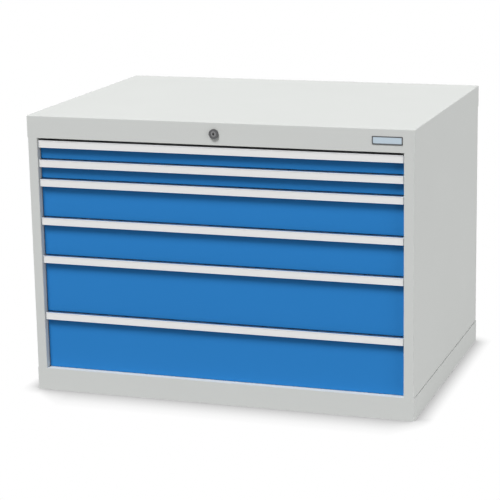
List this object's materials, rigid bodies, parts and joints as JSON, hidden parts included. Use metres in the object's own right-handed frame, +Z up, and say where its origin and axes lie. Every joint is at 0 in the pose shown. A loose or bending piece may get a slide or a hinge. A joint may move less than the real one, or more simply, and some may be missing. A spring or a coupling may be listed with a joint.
{
  "type": "drawer cabinet",
  "caption": "Low steel workshop cabinet with full-width drawers on telescopic slides, label-channel handle strips and a central lock.",
  "frame": {"origin": "on the floor at the centre of the cabinet's footprint", "axes": "+Z up, -Y out of the front, where the drawers open, +X to the right as seen from the front"},
  "size_m": [1.005, 0.742, 0.72],
  "materials": {
    "carcass_grey": "fine-textured light grey powder coat",
    "tray_grey": "light grey powder coat",
    "drawer_blue": "satin mid-blue powder coat",
    "handle_aluminium": "clear anodised extrusion",
    "label_strip": "blank pale label under a clear cover",
    "cap_plastic": "moulded light grey",
    "zinc_steel": "zinc plated, lightly greased",
    "lock_chrome": "satin nickel-chrome",
    "plate_aluminium": "bare satin plate in a thin dark frame"
  },
  "bodies": {
    "cabinet": {"top_hood": "carcass_grey", "base_frame": "carcass_grey", "floor_plate": "carcass_grey", "side_panel_right": "carcass_grey", "side_panel_left": "carcass_grey", "back_panel": "carcass_grey", "posts_right": "carcass_grey", "posts_left": "carcass_grey", "slide_members_right": "zinc_steel", "slide_members_left": "zinc_steel", "lock_housing": "lock_chrome", "lock_nut": "zinc_steel", "lock_bearing": "zinc_steel", "lock_guides": "zinc_steel", "name_plate": "plate_aluminium"},
    "lock_cylinder": {"lock_plug": "lock_chrome", "lock_shaft": "zinc_steel"},
    "lock_bar": {"lock_bar": "zinc_steel"},
    "drawer_1": {"drawer_1_tray": "tray_grey", "drawer_1_front": "drawer_blue", "drawer_1_handle": "handle_aluminium", "drawer_1_label": "label_strip", "drawer_1_caps": "cap_plastic", "drawer_1_runners": "zinc_steel"},
    "slides_1": {"drawer_1_slides": "zinc_steel"},
    "drawer_2": {"drawer_2_tray": "tray_grey", "drawer_2_front": "drawer_blue", "drawer_2_handle": "handle_aluminium", "drawer_2_label": "label_strip", "drawer_2_caps": "cap_plastic", "drawer_2_runners": "zinc_steel"},
    "slides_2": {"drawer_2_slides": "zinc_steel"},
    "drawer_3": {"drawer_3_tray": "tray_grey", "drawer_3_front": "drawer_blue", "drawer_3_handle": "handle_aluminium", "drawer_3_label": "label_strip", "drawer_3_caps": "cap_plastic", "drawer_3_runners": "zinc_steel"},
    "slides_3": {"drawer_3_slides": "zinc_steel"},
    "drawer_4": {"drawer_4_tray": "tray_grey", "drawer_4_front": "drawer_blue", "drawer_4_handle": "handle_aluminium", "drawer_4_label": "label_strip", "drawer_4_caps": "cap_plastic", "drawer_4_runners": "zinc_steel"},
    "slides_4": {"drawer_4_slides": "zinc_steel"},
    "drawer_5": {"drawer_5_tray": "tray_grey", "drawer_5_front": "drawer_blue", "drawer_5_handle": "handle_aluminium", "drawer_5_label": "label_strip", "drawer_5_caps": "cap_plastic", "drawer_5_runners": "zinc_steel"},
    "slides_5": {"drawer_5_slides": "zinc_steel"},
    "drawer_6": {"drawer_6_tray": "tray_grey", "drawer_6_front": "drawer_blue", "drawer_6_handle": "handle_aluminium", "drawer_6_label": "label_strip", "drawer_6_caps": "cap_plastic", "drawer_6_runners": "zinc_steel"},
    "slides_6": {"drawer_6_slides": "zinc_steel"}
  },
  "joints": [
    {"name": "lock_turn", "type": "hinge", "parent": "cabinet", "child": "lock_cylinder", "pos_m": [0, -0.374, 0.6915], "axis": [0, -1, 0], "range_deg": [0, 90]},
    {"name": "lock_bar_lift", "type": "slide", "parent": "cabinet", "child": "lock_bar", "axis": [0, 0, 1], "range_m": [0, 0.01]},
    {"name": "drawer_1_pull", "type": "slide", "parent": "cabinet", "child": "drawer_1", "axis": [0, -1, 0], "range_m": [0, 0.62]},
    {"name": "slides_1_run", "type": "slide", "parent": "cabinet", "child": "slides_1", "axis": [0, -1, 0], "range_m": [0, 0.31]},
    {"name": "drawer_2_pull", "type": "slide", "parent": "cabinet", "child": "drawer_2", "axis": [0, -1, 0], "range_m": [0, 0.62]},
    {"name": "slides_2_run", "type": "slide", "parent": "cabinet", "child": "slides_2", "axis": [0, -1, 0], "range_m": [0, 0.31]},
    {"name": "drawer_3_pull", "type": "slide", "parent": "cabinet", "child": "drawer_3", "axis": [0, -1, 0], "range_m": [0, 0.62]},
    {"name": "slides_3_run", "type": "slide", "parent": "cabinet", "child": "slides_3", "axis": [0, -1, 0], "range_m": [0, 0.31]},
    {"name": "drawer_4_pull", "type": "slide", "parent": "cabinet", "child": "drawer_4", "axis": [0, -1, 0], "range_m": [0, 0.62]},
    {"name": "slides_4_run", "type": "slide", "parent": "cabinet", "child": "slides_4", "axis": [0, -1, 0], "range_m": [0, 0.31]},
    {"name": "drawer_5_pull", "type": "slide", "parent": "cabinet", "child": "drawer_5", "axis": [0, -1, 0], "range_m": [0, 0.62]},
    {"name": "slides_5_run", "type": "slide", "parent": "cabinet", "child": "slides_5", "axis": [0, -1, 0], "range_m": [0, 0.31]},
    {"name": "drawer_6_pull", "type": "slide", "parent": "cabinet", "child": "drawer_6", "axis": [0, -1, 0], "range_m": [0, 0.62]},
    {"name": "slides_6_run", "type": "slide", "parent": "cabinet", "child": "slides_6", "axis": [0, -1, 0], "range_m": [0, 0.31]}
  ],
  "couplings": [
    {"joint": "lock_turn", "follows": "lock_bar_lift", "rad_per_m": 157.08},
    {"joint": "slides_1_run", "follows": "drawer_1_pull", "ratio": 0.5},
    {"joint": "slides_2_run", "follows": "drawer_2_pull", "ratio": 0.5},
    {"joint": "slides_3_run", "follows": "drawer_3_pull", "ratio": 0.5},
    {"joint": "slides_4_run", "follows": "drawer_4_pull", "ratio": 0.5},
    {"joint": "slides_5_run", "follows": "drawer_5_pull", "ratio": 0.5},
    {"joint": "slides_6_run", "follows": "drawer_6_pull", "ratio": 0.5}
  ]
}
